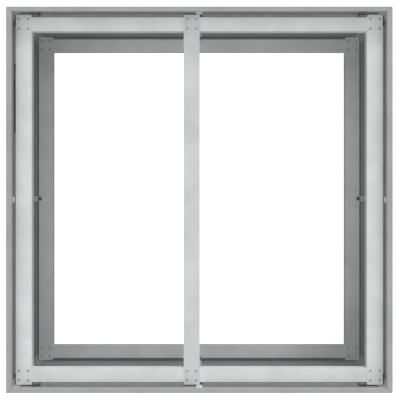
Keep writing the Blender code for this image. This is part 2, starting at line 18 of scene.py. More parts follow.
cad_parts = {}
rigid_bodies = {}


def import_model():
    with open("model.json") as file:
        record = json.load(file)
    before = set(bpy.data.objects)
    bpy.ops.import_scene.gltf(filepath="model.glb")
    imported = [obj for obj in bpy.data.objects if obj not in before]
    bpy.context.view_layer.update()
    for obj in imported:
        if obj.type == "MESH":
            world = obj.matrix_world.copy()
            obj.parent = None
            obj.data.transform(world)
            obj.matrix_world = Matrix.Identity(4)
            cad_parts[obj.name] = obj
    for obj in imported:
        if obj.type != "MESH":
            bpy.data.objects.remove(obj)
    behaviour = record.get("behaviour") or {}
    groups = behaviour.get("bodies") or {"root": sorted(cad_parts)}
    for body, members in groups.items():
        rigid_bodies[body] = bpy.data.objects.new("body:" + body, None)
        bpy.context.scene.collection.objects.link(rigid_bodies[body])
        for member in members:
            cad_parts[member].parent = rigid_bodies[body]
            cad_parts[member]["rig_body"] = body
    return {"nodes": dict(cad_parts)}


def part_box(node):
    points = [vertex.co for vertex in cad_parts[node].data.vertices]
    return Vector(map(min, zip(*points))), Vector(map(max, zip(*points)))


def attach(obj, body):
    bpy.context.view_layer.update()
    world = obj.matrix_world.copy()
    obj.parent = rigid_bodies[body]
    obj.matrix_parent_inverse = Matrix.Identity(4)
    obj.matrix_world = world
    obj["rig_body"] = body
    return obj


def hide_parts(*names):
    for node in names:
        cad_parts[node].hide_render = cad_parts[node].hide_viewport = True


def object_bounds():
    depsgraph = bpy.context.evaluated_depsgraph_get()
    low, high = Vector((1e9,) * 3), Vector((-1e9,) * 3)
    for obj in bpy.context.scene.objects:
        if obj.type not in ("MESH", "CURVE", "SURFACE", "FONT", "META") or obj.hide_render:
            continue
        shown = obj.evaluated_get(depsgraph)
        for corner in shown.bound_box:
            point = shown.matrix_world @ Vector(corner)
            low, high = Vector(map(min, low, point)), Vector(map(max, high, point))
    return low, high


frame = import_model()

LOG = logging.getLogger("cold_frame")
CAD_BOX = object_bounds()
SIDES = ("front", "back", "left", "right")
HALVES = ("left", "right")
SQUARE = 0.9995     # cosine above which a face counts as square to an axis
SHEET = 0.0015      # the metal of the ledges and of the joiners' tabs, in metres
Colour = tuple[float, float, float]


class Grain(Enum):
    """Which way a finish's drawing marks run, as noise scales along X, Y and Z."""

    ALONG_X = (9.0, 700.0, 700.0)
    ALONG_Y = (700.0, 9.0, 700.0)
    ALONG_Z = (700.0, 700.0, 9.0)
    EVEN = (260.0, 260.0, 260.0)


# Finishes

class NodeBoard:
    """A material's node tree, with short ways to add and join its nodes."""

    def __init__(self, name: str) -> None:
        """Start a node material with one Principled shader.

        Args:
            name: The material's name.
        """
        self.material = bpy.data.materials.new(name)
        self.material.use_nodes = True
        self.tree = self.material.node_tree
        self.shader = self.tree.nodes["Principled BSDF"]

    def add(self, kind: str, **values: object) -> bpy.types.Node:
        """Add a node and set its plain properties.

        Args:
            kind: The node's type name.
            values: Property values by name.

        Returns:
            The new node.
        """
        node = self.tree.nodes.new(kind)
        for key, value in values.items():
            setattr(node, key, value)
        return node

    def join(self, source: bpy.types.NodeSocket, target: bpy.types.NodeSocket) -> None:
        """Link one socket to another."""
        self.tree.links.new(source, target)

    def noise(self, scale: tuple[float, float, float], detail: float = 3.0) -> bpy.types.NodeSocket:
        """Add noise on the object's own coordinates.

        Args:
            scale: Noise scale along X, Y and Z, per metre.
            detail: Octaves of the noise.

        Returns:
            The noise's value socket.
        """
        place = self.add("ShaderNodeTexCoord")
        mapping = self.add("ShaderNodeMapping")
        mapping.inputs["Scale"].default_value = scale
        self.join(place.outputs["Object"], mapping.inputs["Vector"])
        noise = self.add("ShaderNodeTexNoise")
        noise.inputs["Scale"].default_value = 1.0
        noise.inputs["Detail"].default_value = detail
        self.join(mapping.outputs["Vector"], noise.inputs["Vector"])
        return noise.outputs["Fac"]

    def spread(self, source: bpy.types.NodeSocket, low: float, high: float) -> bpy.types.NodeSocket:
        """Map a noise value onto a range.

        Args:
            source: A value that mostly lies between 0.3 and 0.7.
            low: The result at 0.3.
            high: The result at 0.7.

        Returns:
            The mapped value's socket.
        """
        node = self.add("ShaderNodeMapRange")
        for key, value in (("From Min", 0.3), ("From Max", 0.7), ("To Min", low), ("To Max", high)):
            node.inputs[key].default_value = value
        self.join(source, node.inputs["Value"])
        return node.outputs["Result"]

    def blend(self, factor: bpy.types.NodeSocket, first: Colour, second: Colour) -> bpy.types.NodeSocket:
        """Mix two colours by a value.

        Args:
            factor: The share of the second colour.
            first: The colour at 0.
            second: The colour at 1.

        Returns:
            The mixed colour's socket.
        """
        node = self.add("ShaderNodeMix", data_type="RGBA")
        node.inputs["A"].default_value = (*first, 1.0)
        node.inputs["B"].default_value = (*second, 1.0)
        self.join(factor, node.inputs["Factor"])
        return node.outputs["Result"]

    def bump(self, height: bpy.types.NodeSocket, depth: float, strength: float) -> None:
        """Raise the surface by a value.

        Args:
            height: The value, 0 to 1.
            depth: The relief's depth in metres.
            strength: How strongly it shows, 0 to 1.
        """
        node = self.add("ShaderNodeBump")
        node.inputs["Distance"].default_value = depth
        node.inputs["Strength"].default_value = strength
        self.join(height, node.inputs["Height"])
        self.join(node.outputs["Normal"], self.shader.inputs["Normal"])


@dataclass(frozen=True)
class MetalFinish:
    """A drawn, plated or coated metal surface with soft mottling and fine marks."""

    name: str
    slot: str
    colour: Colour
    metallic: float
    roughness: float
    grain: Grain = Grain.EVEN
    mottle: float = 0.07
    mottle_scale: float = 14.0
    rough_spread: float = 0.08
    mark_depth: float = 0.00004
    mark_strength: float = 0.25

    def build(self) -> bpy.types.Material:
        """Return the finish as a node material."""
        board = NodeBoard(self.name)
        board.shader.inputs["Metallic"].default_value = self.metallic
        mottling = board.noise((self.mottle_scale,) * 3, 4.0)
        darker = tuple(channel * (1.0 - self.mottle) for channel in self.colour)
        lighter = tuple(min(1.0, channel * (1.0 + self.mottle)) for channel in self.colour)
        factor = board.spread(mottling, 0.0, 1.0)
        board.join(board.blend(factor, darker, lighter), board.shader.inputs["Base Color"])
        marks = board.noise(self.grain.value, 2.0)
        rough = board.spread(marks, self.roughness - self.rough_spread, self.roughness + self.rough_spread)
        board.join(rough, board.shader.inputs["Roughness"])
        board.bump(marks, self.mark_depth, self.mark_strength)
        return board.material


@dataclass(frozen=True)
class GlassFinish:
    """Clear float glass, its colour all but neutral."""

    name: str = "clear_float_glass"
    slot: str = "pane_glass"
    tint: Colour = (0.99, 0.997, 0.996)
    index: float = 1.45

    def build(self) -> bpy.types.Material:
        """Return the finish as a node material."""
        board = NodeBoard(self.name)
        board.shader.inputs["Base Color"].default_value = (*self.tint, 1.0)
        board.shader.inputs["Roughness"].default_value = 0.0
        board.shader.inputs["IOR"].default_value = self.index
        board.shader.inputs["Transmission Weight"].default_value = 1.0
        return board.material


@dataclass(frozen=True)
class RubberFinish:
    """Matt black seal rubber with a dusty bloom."""

    name: str = "seal_rubber"
    slot: str = "seal_rubber"
    colour: Colour = (0.022, 0.022, 0.023)
    bloom: Colour = (0.06, 0.06, 0.058)
    bloom_scale: float = 60.0
    bloom_share: float = 0.6
    roughness: tuple[float, float] = (0.68, 0.85)
    pore_scale: float = 1500.0
    pore_depth: float = 0.00003
    pore_strength: float = 0.3

    def build(self) -> bpy.types.Material:
        """Return the finish as a node material."""
        board = NodeBoard(self.name)
        dust = board.noise((self.bloom_scale,) * 3, 4.0)
        factor = board.spread(dust, 0.0, self.bloom_share)
        board.join(board.blend(factor, self.colour, self.bloom), board.shader.inputs["Base Color"])
        board.join(board.spread(dust, *self.roughness), board.shader.inputs["Roughness"])
        board.bump(board.noise((self.pore_scale,) * 3, 2.0), self.pore_depth, self.pore_strength)
        return board.material


BAR: Colour = (0.87, 0.875, 0.88)
WALL: Colour = (0.45, 0.455, 0.46)
PANEL: Colour = (0.26, 0.265, 0.27)


class FinishBook:
    """Every finish of the cold frame, each built once."""

    def __init__(self) -> None:
        """Name the finishes; each is built when it is first asked for."""
        self.finishes = {
            "bar_y": MetalFinish("satin_bar_front_to_back", "frame_bars", BAR, 0.20, 0.52, Grain.ALONG_Y),
            "bar_x": MetalFinish("satin_bar_side_to_side", "frame_bars", BAR, 0.20, 0.52, Grain.ALONG_X),
            # The centre bar is the bars' own aluminium painted darker: painted shade.
            "bar_centre": MetalFinish("satin_centre_bar", "frame_bars", (0.73, 0.74, 0.745), 0.20, 0.55,
                                      Grain.ALONG_Y),
            # The joiners are the bars' own aluminium painted darker: painted shade that dims their highlight.
            "joiner": MetalFinish("satin_joiner_painted_shade", "frame_bars", (0.60, 0.61, 0.615), 0.25, 0.52,
                                  Grain.ALONG_Z),
            "wall_x": MetalFinish("grey_profile_side_to_side", "wall_profiles", WALL, 0.20, 0.55,
                                  Grain.ALONG_X),
            "wall_y": MetalFinish("grey_profile_front_to_back", "wall_profiles", WALL, 0.20, 0.55,
                                  Grain.ALONG_Y),
            "wall_z": MetalFinish("grey_post", "wall_profiles", WALL, 0.20, 0.55, Grain.ALONG_Z),
            "panel": MetalFinish("grey_panel_skin", "wall_panels", PANEL, 0.15, 0.55, mottle=0.05,
                                 mottle_scale=6.0, mark_depth=0.00008),
            "rivet": MetalFinish("dull_rivet_steel", "rivet_steel", (0.52, 0.52, 0.52), 0.75, 0.42),
            "screw": MetalFinish("zinc_screw", "rivet_steel", (0.50, 0.50, 0.49), 0.9, 0.34),
            "dark_screw": MetalFinish("blackened_bolt", "rivet_steel", (0.10, 0.10, 0.105), 0.7, 0.45),
            "hinge": MetalFinish("dull_hinge_steel", "hinge_steel", (0.20, 0.20, 0.205), 0.7, 0.48,
                                 mottle=0.14, mottle_scale=220.0),
            "brush": MetalFinish("grey_brush_pile", "seal_rubber", (0.42, 0.42, 0.42), 0.0, 0.9,
                                 mottle=0.12, mottle_scale=90.0, mark_depth=0.0002, mark_strength=0.6),
            "glass": GlassFinish(),
            "rubber": RubberFinish(),
            "buffer": RubberFinish("grey_buffer_rubber", "seal_rubber", (0.10, 0.10, 0.101),
                                   (0.14, 0.14, 0.138)),
        }
        self.built: dict[str, bpy.types.Material] = {}

    def material(self, key: str) -> bpy.types.Material:
        """Return the named finish's material."""
        if key not in self.built:
            self.built[key] = self.finishes[key].build()
        return self.built[key]

    def slot(self, key: str) -> str:
        """Return the record's slot that the named finish stands for."""
        return self.finishes[key].slot


# Pieces

def welded(mesh: bpy.types.Mesh, distance: float = 1e-6) -> bpy.types.Mesh:
    """Merge a mesh's doubled points and turn its faces outwards.

    Args:
        mesh: The mesh, changed in place.
        distance: How close two points are to be one.

    Returns:
        The same mesh.
    """
    work = bmesh.new()
    work.from_mesh(mesh)
    bmesh.ops.remove_doubles(work, verts=work.verts, dist=distance)
    bmesh.ops.recalc_face_normals(work, faces=work.faces)
    work.to_mesh(mesh)
    work.free()
    return mesh


def new_object(name: str, mesh: bpy.types.Mesh) -> bpy.types.Object:
    """Link a new object for a mesh."""
    item = bpy.data.objects.new(name, mesh)
    bpy.context.scene.collection.objects.link(item)
    return item


def settled(item: bpy.types.Object) -> bpy.types.Mesh:
    """Return an object's mesh with its modifiers worked in."""
    bpy.context.view_layer.update()
    graph = bpy.context.evaluated_depsgraph_get()
    return bpy.data.meshes.new_from_object(item.evaluated_get(graph))


def body_of(node: str) -> str:
    """Return the body that a node of the frame rides on."""
    return frame["nodes"][node]["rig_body"]


@dataclass
class Workshop:
    """Makes finished pieces, gives each its finish and its body, and reports it."""

    book: FinishBook = field(default_factory=FinishBook)
    made: int = 0
    weld_gap: float = 1e-5
    flat_within: float = 0.5    # degrees
    eased_from: float = 40.0    # degrees
    rounding: int = 2

    def hand_over(self, name: str, mesh: bpy.types.Mesh, finish: str, body: str) -> bpy.types.Object:
        """Link a finished mesh as a piece.

        Args:
            name: The piece's name.
            mesh: Its mesh, in the frame's own place.
            finish: The finish's key.
            body: The body it rides on.

        Returns:
            The piece.
        """
        mesh.materials.clear()
        mesh.materials.append(self.book.material(finish))
        for polygon in mesh.polygons:
            polygon.material_index = 0
        item = new_object(name, mesh)
        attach(item, body)
        self.book.slot(finish)
        self.made += 1
        LOG.info("%s rides on %s in %s", name, body, finish)
        return item

    def dress(self, node: str, finish: str) -> None:
        """Give a node of the frame a finish.

        Args:
            node: The node's name.
            finish: The finish's key.
        """
        item = frame["nodes"][node]
        item.data.materials.clear()
        item.data.materials.append(self.book.material(finish))
        LOG.info("%s keeps its shape in %s", node, finish)

    def ease(self, node: str, finish: str, width: float, suffix: str, flat: bool = False) -> bpy.types.Object:
        """Stand a copy with eased edges in for a node of the frame.

        Args:
            node: The node's name.
            finish: The finish's key.
            width: How far each edge is eased, in metres.
            suffix: What the piece's name adds to the node's.
            flat: Whether each face is shaded flat, as ground glass edges are.

        Returns:
            The piece.
        """
        mesh = welded(frame["nodes"][node].data.copy(), self.weld_gap)
        work = bmesh.new()
        work.from_mesh(mesh)
        bmesh.ops.dissolve_limit(work, angle_limit=math.radians(self.flat_within), verts=work.verts,
                                 edges=work.edges)
        work.to_mesh(mesh)
        work.free()
        rough = new_object(node + "_rough", mesh)
        bevel = rough.modifiers.new("eased", "BEVEL")
        bevel.width = width
        bevel.segments = self.rounding
        bevel.limit_method = "ANGLE"
        bevel.angle_limit = math.radians(self.eased_from)
        bevel.use_clamp_overlap = True
        finished = settled(rough)
        bpy.data.objects.remove(rough)
        for polygon in finished.polygons:
            polygon.use_smooth = not flat and max(abs(part) for part in polygon.normal) < SQUARE
        piece = self.hand_over(f"{node}_{suffix}", finished, finish, body_of(node))
        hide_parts(node)
        return piece


# Fasteners

DOME_STEPS = 6


def turned(profile: list[tuple[float, float]], sides: int) -> bpy.types.Mesh:
    """Turn a profile about Z.

    Args:
        profile: Points as (radius, height), from the axis round to the axis.
        sides: How many facets go round.

    Returns:
        A closed mesh.
    """
    work = bmesh.new()
    points = [work.verts.new((radius, 0.0, height)) for radius, height in profile]
    edges = [work.edges.new(pair) for pair in zip(points, points[1:])]
    bmesh.ops.spin(work, geom=points + edges, cent=(0.0, 0.0, 0.0), axis=(0.0, 0.0, 1.0),
                   angle=2 * math.pi, steps=sides, use_duplicate=False)
    mesh = bpy.data.meshes.new("turned")
    work.to_mesh(mesh)
    work.free()
    return welded(mesh)


def dome_points(inner: float, outer: float, height: float, rim_share: float) -> list[tuple[float, float]]:
    """Return a quarter-round dome's profile, from its crown out to its rim.

    Args:
        inner: The radius that the crown starts at.
        outer: The rim's radius.
        height: The crown's height.
        rim_share: The rim's height as a share of the crown's.

    Returns:
        Points as (radius, height).
    """
    points = []
    for step in range(DOME_STEPS + 1):
        turn = step * math.pi / (2 * DOME_STEPS)
        points.append((inner + (outer - inner) * math.sin(turn),
                       height * (rim_share + (1.0 - rim_share) * math.cos(turn))))
    return points


@dataclass
class RivetHead:
    """A domed blind-rivet head with its mandrel pit, on a shank down to the backing plate."""

    radius: float = 0.0031
    height: float = 0.0014
    shank: float = 0.0016
    reach: float = 0.0042
    rim_share: float = 0.28
    pit_share: float = 0.55
    pit_taper: float = 0.85
    floor_share: float = 0.45
    sides: int = 20

    def mesh(self) -> bpy.types.Mesh:
        """Return one rivet, its head's underside at height 0."""
        pit = self.shank * self.pit_share
        pit_floor = self.height * self.floor_share
        dome = dome_points(pit, self.radius, self.height, self.rim_share)
        profile = [(0.0, pit_floor), (pit * self.pit_taper, pit_floor), *dome,
                   (self.radius, 0.0), (self.shank, 0.0), (self.shank, -self.reach), (0.0, -self.reach)]
        return turned(profile, self.sides)


@dataclass
class ScrewHead:
    """A pan screw head with a crossed recess."""

    radius: float = 0.0035
    height: float = 0.0018
    slot_wide: float = 0.0009
    slot_share: float = 1.1
    cutter_tall: float = 1.4
    cutter_middle: float = 1.15
    rim_share: float = 0.45
    sides: int = 20

    def mesh(self) -> bpy.types.Mesh:
        """Return one head, its underside at height 0."""
        dome = dome_points(0.0, self.radius, self.height, self.rim_share)
        head = new_object("screw_head", turned([*dome, (self.radius, 0.0), (0.0, 0.0)], self.sides))
        cross = bmesh.new()
        slot_long = self.radius * self.slot_share
        middle = Matrix.Translation((0.0, 0.0, self.height * self.cutter_middle))
        for long_x, long_y in ((slot_long, self.slot_wide), (self.slot_wide, slot_long)):
            size = (long_x, long_y, self.height * self.cutter_tall, 1.0)
            bmesh.ops.create_cube(cross, size=1.0, matrix=middle @ Matrix.Diagonal(size))
        cutter_mesh = bpy.data.meshes.new("cross")
        cross.to_mesh(cutter_mesh)
        cross.free()
        cutter = new_object("cross", cutter_mesh)
        cut = head.modifiers.new("cross", "BOOLEAN")
        cut.operation = "DIFFERENCE"
        cut.use_self = True
        cut.object = cutter
        result = settled(head)
        bpy.data.objects.remove(head)
        bpy.data.objects.remove(cutter)
        return result


@dataclass
class HexHead:
    """A hexagon bolt head on a washer."""

    across: float = 0.0080
    height: float = 0.0034
    top_share: float = 0.86
    top_drop: float = 0.0006
    washer: float = 0.0058
    washer_thick: float = 0.0009
    flat_share: float = 0.94
    edge_share: float = 0.8
    washer_sides: int = 24

    def mesh(self) -> bpy.types.Mesh:
        """Return one head on its washer, the washer's underside at height 0."""
        corner = self.across / math.sqrt(3.0)
        top = self.washer_thick + self.height
        sunk = self.washer_thick * 0.5
        hexagon = turned([(0.0, top), (corner * self.top_share, top), (corner, top - self.top_drop),
                          (corner, sunk), (0.0, sunk)], 6)
        washer = turned([(0.0, self.washer_thick), (self.washer * self.flat_share, self.washer_thick),
                         (self.washer, self.washer_thick * self.edge_share), (self.washer, 0.0),
                         (0.0, 0.0)], self.washer_sides)
        head = new_object("hex_head", hexagon)
        ring = new_object("hex_washer", washer)
        union = head.modifiers.new("washer", "BOOLEAN")
        union.operation = "UNION"
        union.object = ring
        result = settled(head)
        bpy.data.objects.remove(head)
        bpy.data.objects.remove(ring)
        return result


class FastenerTree:
    """A node tree that lays copies of one fastener out in even columns and rows."""

    def __init__(self) -> None:
        """Build the tree with its named inputs."""
        self.tree = bpy.data.node_groups.new("fastener_grid", "GeometryNodeTree")
        self.tree.interface.new_socket("Geometry", in_out="OUTPUT", socket_type="NodeSocketGeometry")
        self.keys = {
            name: self.tree.interface.new_socket(name, in_out="INPUT", socket_type=kind).identifier
            for name, kind in (("Fastener", "NodeSocketObject"), ("Columns", "NodeSocketInt"),
                               ("Rows", "NodeSocketInt"), ("Column Pitch", "NodeSocketFloat"),
                               ("Row Pitch", "NodeSocketFloat"), ("Finish", "NodeSocketMaterial"))
        }
        self.inputs = self.tree.nodes.new("NodeGroupInput")
        self.wire()

    def math(self, operation: str, first: object, second: object) -> bpy.types.NodeSocket:
        """Add a Math node.

        Args:
            operation: The operation's name.
            first: A socket or a number.
            second: A socket or a number.

        Returns:
            The result's socket.
        """
        node = self.tree.nodes.new("ShaderNodeMath")
        node.operation = operation
        for target, value in zip(node.inputs, (first, second)):
            if isinstance(value, bpy.types.NodeSocket):
                self.tree.links.new(value, target)
            else:
                target.default_value = value
        return node.outputs[0]

    def offset(self, index: bpy.types.NodeSocket, count: str, pitch: str) -> bpy.types.NodeSocket:
        """Return a centred offset for an index among evenly spaced places."""
        middle = self.math("MULTIPLY", self.math("SUBTRACT", self.inputs.outputs[count], 1.0), 0.5)
        return self.math("MULTIPLY", self.math("SUBTRACT", index, middle), self.inputs.outputs[pitch])

    def wire(self) -> None:
        """Join the tree: points, their places, the copies, and the finish."""
        nodes, links, inputs = self.tree.nodes, self.tree.links, self.inputs.outputs
        points = nodes.new("GeometryNodePoints")
        links.new(self.math("MULTIPLY", inputs["Columns"], inputs["Rows"]), points.inputs["Count"])
        index = nodes.new("GeometryNodeInputIndex").outputs["Index"]
        row = self.math("FLOOR", self.math("DIVIDE", index, inputs["Columns"]), 0.0)
        column = self.math("SUBTRACT", index, self.math("MULTIPLY", row, inputs["Columns"]))
        place = nodes.new("ShaderNodeCombineXYZ")
        links.new(self.offset(column, "Columns", "Column Pitch"), place.inputs["X"])
        links.new(self.offset(row, "Rows", "Row Pitch"), place.inputs["Y"])
        settle = nodes.new("GeometryNodeSetPosition")
        links.new(points.outputs["Points"], settle.inputs["Geometry"])
        links.new(place.outputs["Vector"], settle.inputs["Position"])
        source = nodes.new("GeometryNodeObjectInfo")
        links.new(inputs["Fastener"], source.inputs["Object"])
        copies = nodes.new("GeometryNodeInstanceOnPoints")
        links.new(settle.outputs["Geometry"], copies.inputs["Points"])
        links.new(source.outputs["Geometry"], copies.inputs["Instance"])
        real = nodes.new("GeometryNodeRealizeInstances")
        links.new(copies.outputs["Instances"], real.inputs["Geometry"])
        finish = nodes.new("GeometryNodeSetMaterial")
        links.new(real.outputs["Geometry"], finish.inputs["Geometry"])
        links.new(inputs["Finish"], finish.inputs["Material"])
        output = nodes.new("NodeGroupOutput")
        links.new(finish.outputs["Geometry"], output.inputs["Geometry"])

    def lay(self, head: bpy.types.Mesh, count: tuple[int, int], pitch: tuple[float, float],
            finish: bpy.types.Material) -> bpy.types.Mesh:
        """Lay out copies of a fastener round the origin.

        Args:
            head: The fastener's mesh.
            count: Columns and rows.
            pitch: Their spacing along X and Y.
            finish: The material that the tree sets.

        Returns:
            One plain mesh.
        """
        sample = new_object("fastener_sample", head)
        carrier = new_object("fastener_carrier", bpy.data.meshes.new("fastener_carrier"))
        modifier = carrier.modifiers.new("grid", "NODES")
        modifier.node_group = self.tree
        values = {"Fastener": sample, "Columns": count[0], "Rows": count[1], "Column Pitch": pitch[0],
                  "Row Pitch": pitch[1], "Finish": finish}
        for name, value in values.items():
            modifier[self.keys[name]] = value
        mesh = settled(carrier)
        bpy.data.objects.remove(carrier)
        bpy.data.objects.remove(sample)
        return mesh


class Facing(Enum):
    """Which way a fastener's head points."""

    UP = (0.0, 0.0, 0.0)
    DOWN = (math.pi, 0.0, 0.0)
    RIGHT = (math.pi / 2, 0.0, math.pi / 2)
    LEFT = (math.pi / 2, 0.0, -math.pi / 2)
    FRONT = (math.pi / 2, 0.0, 0.0)
    BACK = (math.pi / 2, 0.0, math.pi)


@dataclass
class Fastenings:
    """Every rivet and screw, laid out on the frame."""

    shop: Workshop
    rivet: RivetHead = field(default_factory=RivetHead)
    screw: ScrewHead = field(default_factory=ScrewHead)
    bolt: HexHead = field(default_factory=HexHead)
    rivet_pitch: tuple[float, float] = (0.024, 0.025)
    sharp_from: float = 32.0    # degrees
    plate_thick: float = 0.0012
    plate_edge: float = 0.0003
    tab_hole: float = 0.0068
    tab_seat: float = 0.0004
    post_rows: int = 4
    post_spare: float = 0.6
    post_inset: float = 0.0225
    retainer_rows: int = 6
    retainer_columns: int = 4
    retainer_edge: float = 0.004
    ledge_columns: int = 5
    ledge_share: float = 0.22
    ledge_drop: float = 0.001
    leaf_pitch: float = 0.0105
    leaf_drop: float = 0.0055
    leaf_thick: float = 0.0012

    def __post_init__(self) -> None:
        """Build the node tree that all of them share."""
        self.tree = FastenerTree()

    def group(self, name: str, head: bpy.types.Mesh, count: tuple[int, int], pitch: tuple[float, float],
              place: Vector, facing: Facing, finish: str, body: str) -> bpy.types.Object:
        """Lay out one group of fasteners.

        Args:
            name: The piece's name.
            head: One fastener.
            count: Columns and rows, in the group's own plane.
            pitch: Their spacing.
            place: The group's middle.
            facing: Which way the heads point.
            finish: The finish's key.
            body: The body it rides on.

        Returns:
            The piece.
        """
        mesh = self.tree.lay(head, count, pitch, self.shop.book.material(finish))
        mesh.transform(Matrix.Translation(place) @ Euler(facing.value).to_matrix().to_4x4())
        mesh.shade_smooth()
        mesh.set_sharp_from_angle(angle=math.radians(self.sharp_from))
        return self.shop.hand_over(name, mesh, finish, body)

    def rivets(self) -> None:
        """Stand domed rivets and their backing plates in for each rivet node."""
        for node in sorted(frame["nodes"]):
            if "_rivets_" not in node:
                continue
            low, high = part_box(node)
            top = high.z - self.rivet.height
            middle = Vector(((low.x + high.x) / 2, (low.y + high.y) / 2, top))
            piece = self.group(node + "_domed", self.rivet.mesh(), (2, 2), self.rivet_pitch, middle,
                               Facing.UP, "rivet", body_of(node))
            self.add_plate(piece, low, high)
            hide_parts(node)

    def add_plate(self, piece: bpy.types.Object, low: Vector, high: Vector) -> None:
        """Add the backing plate that a group of rivets ends in.

        Args:
            piece: The rivets.
            low: The lowest corner of the node they stand for.
            high: Its highest corner.
        """
        work = bmesh.new()
        work.from_mesh(piece.data)
        size = (high.x - low.x, high.y - low.y, self.plate_thick, 1.0)
        middle = (low + high) / 2
        middle.z = low.z + self.plate_thick / 2
        block = Matrix.Translation(middle) @ Matrix.Diagonal(size)
        made = bmesh.ops.create_cube(work, size=1.0, matrix=block)
        edges = list({edge for vertex in made["verts"] for edge in vertex.link_edges})
        bmesh.ops.bevel(work, geom=edges, offset=self.plate_edge, segments=1, affect="EDGES")
        work.to_mesh(piece.data)
        work.free()

    def tab_bolts(self) -> None:
        """Bolt each joiner's tab down to the base frame."""
        tab_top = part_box("base_bar_left")[1].z + SHEET + self.tab_seat
        for side in SIDES:
            low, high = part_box(side + "_joiner")
            middle = (low + high) / 2
            x, y = {"front": (middle.x, high.y - self.tab_hole), "back": (middle.x, low.y + self.tab_hole),
                    "left": (high.x - self.tab_hole, middle.y),
                    "right": (low.x + self.tab_hole, middle.y)}[side]
            self.group(side + "_tab_bolt", self.bolt.mesh(), (1, 1), (0.0, 0.0), Vector((x, y, tab_top)),
                       Facing.UP, "dark_screw", "root")

    def post_screws(self) -> None:
        """Screw both outer faces of each post to its panels."""
        rim_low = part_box("front_rim_cap")[0].z
        for node in sorted(n for n in frame["nodes"] if n.startswith("post_")):
            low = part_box(node)[0]
            tall = rim_low - low.z
            pitch = tall / (self.post_rows + self.post_spare)
            side = -1.0 if low.x < 0.0 else 1.0
            depth = -1.0 if low.y < 0.0 else 1.0
            edge_x = CAD_BOX[0].x if side < 0.0 else CAD_BOX[1].x
            edge_y = CAD_BOX[0].y if depth < 0.0 else CAD_BOX[1].y
            face_y = Vector((edge_x - side * self.post_inset, edge_y, low.z + tall / 2))
            face_x = Vector((edge_x, edge_y - depth * self.post_inset, low.z + tall / 2))
            self.group(node + "_end_screws", self.screw.mesh(), (1, self.post_rows), (0.0, pitch), face_y,
                       Facing.FRONT if depth < 0.0 else Facing.BACK, "screw", "root")
            self.group(node + "_side_screws", self.screw.mesh(), (1, self.post_rows), (0.0, pitch), face_x,
                       Facing.LEFT if side < 0.0 else Facing.RIGHT, "screw", "root")

    def retainer_screws(self) -> None:
        """Screw the glazing retainer up to the sash, round the outside and down the middle."""
        head = ScrewHead(radius=0.0028, height=0.0015, slot_wide=0.0007)
        low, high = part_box("glazing_retainer")
        bar_low, bar_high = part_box("sash_bar_centre")
        place = (low + high) / 2
        place.z = low.z
        under_bar = Vector(((bar_low.x + bar_high.x) / 2, place.y, low.z))
        rows, columns = self.retainer_rows, self.retainer_columns
        span_x = high.x - low.x - 2 * self.retainer_edge
        span_y = high.y - low.y - 2 * self.retainer_edge
        pitch_x, pitch_y = span_x / (columns + 1), span_y / (rows - 1)
        for name, count, pitch, middle in (
                ("retainer_side_screws", (2, rows), (span_x, pitch_y), place),
                ("retainer_end_screws", (columns, 2), (pitch_x, span_y), place),
                ("retainer_middle_screws", (1, rows), (0.0, pitch_y), under_bar)):
            self.group(name, head.mesh(), count, pitch, middle, Facing.DOWN, "screw", "sash")

    def ledge_screws(self) -> None:
        """Screw each ledge to its wall."""
        for side, facing in (("left", Facing.RIGHT), ("right", Facing.LEFT)):
            low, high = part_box("sash_ledge_" + side)
            x = low.x + SHEET if side == "left" else high.x - SHEET
            pitch = (high.y - low.y) * self.ledge_share
            below_middle = (low.z + high.z) / 2 - self.ledge_drop
            self.group(f"sash_ledge_{side}_screws", self.screw.mesh(), (self.ledge_columns, 1),
                       (pitch, 0.0), Vector((x, 0.0, below_middle)), facing, "screw", "root")

    def hinge_screws(self) -> None:
        """Screw the fixed hinge leaves to the back wall."""
        small = ScrewHead(radius=0.0026, height=0.0010, slot_wide=0.0006)
        for side in HALVES:
            low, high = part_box(f"hinge_{side}_fixed_leaf")
            place = Vector(((low.x + high.x) / 2, high.y - self.leaf_thick, high.z - self.leaf_drop))
            self.group(f"hinge_{side}_screws", small.mesh(), (2, 1), (self.leaf_pitch, 0.0), place,
                       Facing.FRONT, "screw", "root")

    def build(self) -> None:
        """Lay out every group."""
        self.rivets()
        self.tab_bolts()
        self.post_screws()
        self.retainer_screws()
        self.ledge_screws()
        self.hinge_screws()


# Sub-assemblies

@dataclass
class Walls:
    """The rim, posts, panels, joiners, bottom rails and ledges."""

    shop: Workshop
    profile_ease: float = 0.0004
    joiner_ease: float = 0.00024
    panel_ease: float = 0.0005

    def build(self) -> None:
        """Give each wall piece its eased copy and its finish."""
        for side in SIDES:
            run = "wall_x" if side in ("front", "back") else "wall_y"
            self.shop.ease(side + "_rim_cap", run, self.profile_ease, "profile")
            self.shop.ease(side + "_bottom_rail", run, self.profile_ease, "profile")
            # The joiners get the darker copy of the bar finish, which is painted shade.
            self.shop.ease(side + "_joiner", "joiner", self.joiner_ease, "profile")
            for half in HALVES:
                self.shop.ease(f"{side}_panel_{half}", "panel", self.panel_ease, "skin")
        for node in sorted(n for n in frame["nodes"] if n.startswith("post_")):
            self.shop.ease(node, "wall_z", self.profile_ease, "profile")
        for side in HALVES:
            self.shop.ease("sash_ledge_" + side, "wall_y", self.profile_ease, "profile")


@dataclass
class ChannelFrames:
    """The base frame's and the sash's bars and rails."""

    shop: Workshop
    ease: float = 0.0004

    def build(self) -> None:
        """Give each channel its eased copy and its drawn finish."""
        for node in sorted(frame["nodes"]):
            # The centre bar gets the darker copy of the bar finish, which is painted shade.
            if node == "sash_bar_centre":
                self.shop.ease(node, "bar_centre", self.ease, "channel")
            elif "_bar_" in node:
                self.shop.ease(node, "bar_y", self.ease, "channel")
            elif node.startswith(("sash_rail", "base_rail")):
                self.shop.ease(node, "bar_x", self.ease, "channel")


